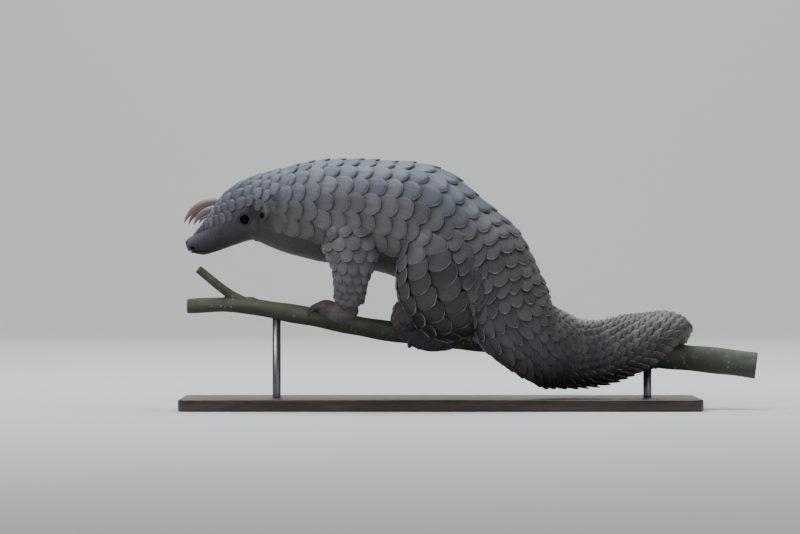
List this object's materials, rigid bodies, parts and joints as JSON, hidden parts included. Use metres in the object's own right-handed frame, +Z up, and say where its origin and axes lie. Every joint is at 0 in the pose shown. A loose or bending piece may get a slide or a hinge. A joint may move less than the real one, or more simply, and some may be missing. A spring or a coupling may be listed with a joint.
{
  "type": "pangolin",
  "caption": "Life-size still model of a pangolin walking along a cut length of branch, its tail curled over the branch, held by a flat base and rods.",
  "frame": {"origin": "centre of the underside of the stand's base", "axes": "+X from the head towards the tail, along the branch; -Y the animal's left side, which the picture shows; +Z up"},
  "size_m": [0.6921, 0.2, 0.3006],
  "materials": {
    "scales": "satin horn scales with pale worn edges",
    "skin": "bare wrinkled skin",
    "claws": "smooth pinkish horn",
    "eye": "wet black eye",
    "bark": "grey-green young bark",
    "stand": "dark stained wood",
    "rod": "brushed"
  },
  "bodies": {
    "root": {"head": "skin", "neck": "scales", "chest": "scales", "back": "scales", "rump": "scales", "tail_1": "scales", "tail_2": "scales", "tail_3": "scales", "tail_4": "scales", "tail_5": "scales", "ear_left": "skin", "eye_left": "eye", "foreleg_left": "scales", "forefoot_left": "skin", "hindleg_left": "scales", "hindfoot_left": "skin", "ear_right": "skin", "eye_right": "eye", "foreleg_right": "scales", "forefoot_right": "skin", "hindleg_right": "scales", "hindfoot_right": "skin", "perch_branch": "bark", "stand_base": "stand", "stand_rod_front": "rod", "stand_rod_rear": "rod"}
  },
  "joints": []
}
